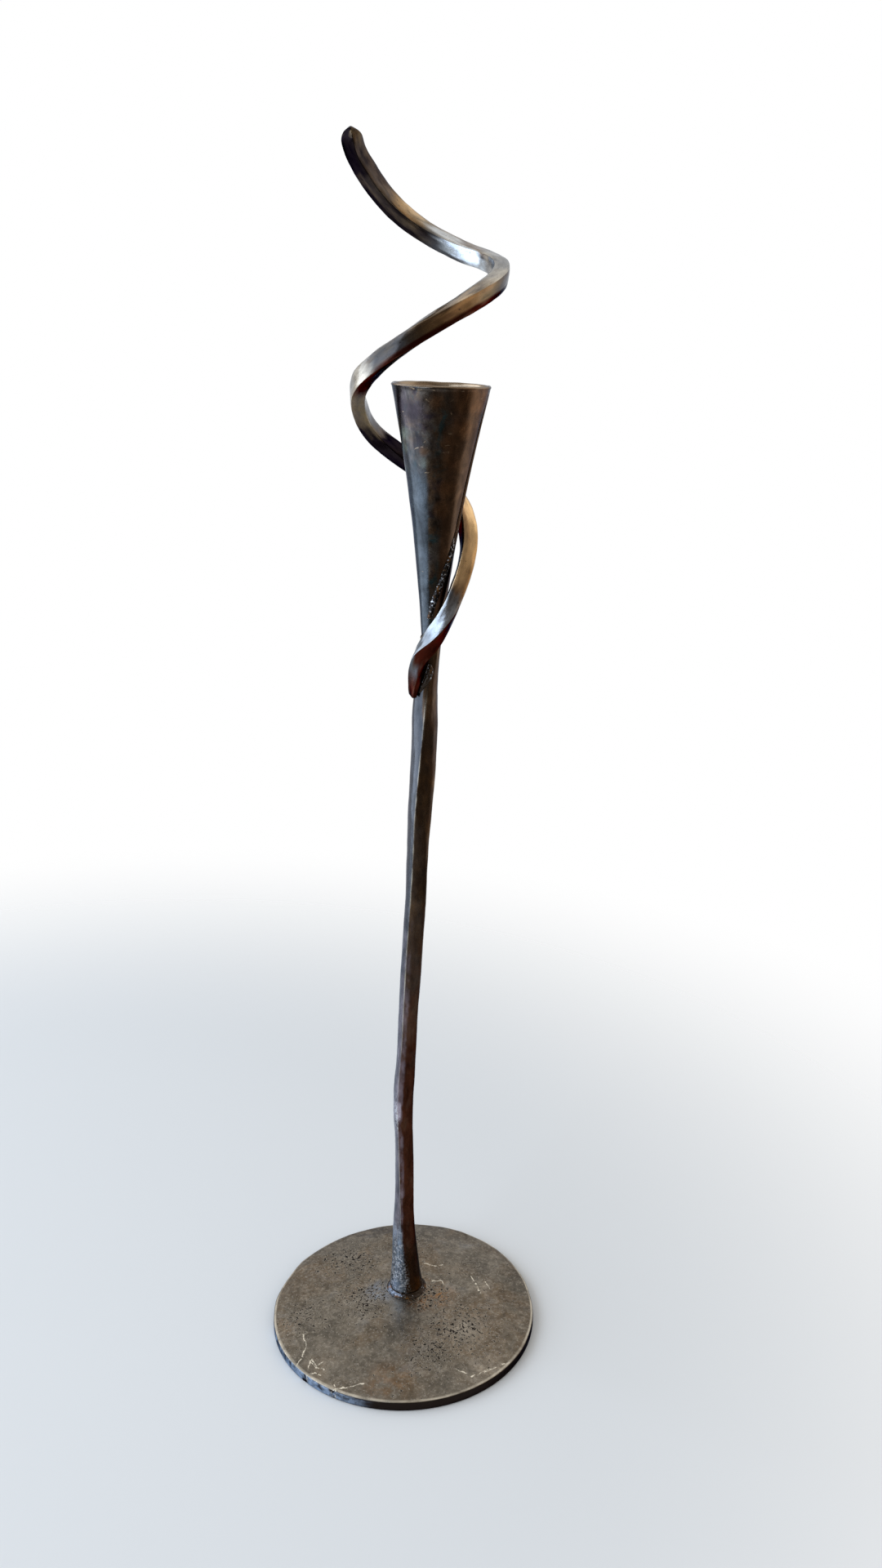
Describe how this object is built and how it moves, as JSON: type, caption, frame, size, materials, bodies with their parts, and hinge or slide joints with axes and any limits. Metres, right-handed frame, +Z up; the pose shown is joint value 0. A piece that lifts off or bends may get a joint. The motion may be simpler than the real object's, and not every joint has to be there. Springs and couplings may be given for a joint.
{
  "type": "candlestick",
  "caption": "Hand-forged iron candlestick: dished round base, slender leaning stem, trumpet cone for the candle, and a tendril of square bar that winds up round the cone.",
  "frame": {"origin": "on the table, under the middle of the base plate", "axes": "+Z up; the picture looks along +Y, so -Y is the front and +X is to the right"},
  "size_m": [0.1194, 0.1205, 0.4959],
  "materials": {
    "plate_iron": "forged, pitted and worn grey-brown, waxed",
    "stem_iron": "hammered dark brown with a burnished grey arris, waxed",
    "cone_sheet": "dark grey scale, rubbed",
    "tendril_iron": "hammered copper-brown with grey highlights, waxed",
    "weld_iron": "rough dark weld"
  },
  "bodies": {
    "root": {"base_plate": "plate_iron", "stem": "stem_iron", "foot_weld": "weld_iron", "candle_cone": "cone_sheet", "seam_weld": "weld_iron", "root_weld": "weld_iron", "tendril": "tendril_iron", "tendril_weld": "weld_iron"}
  },
  "joints": []
}
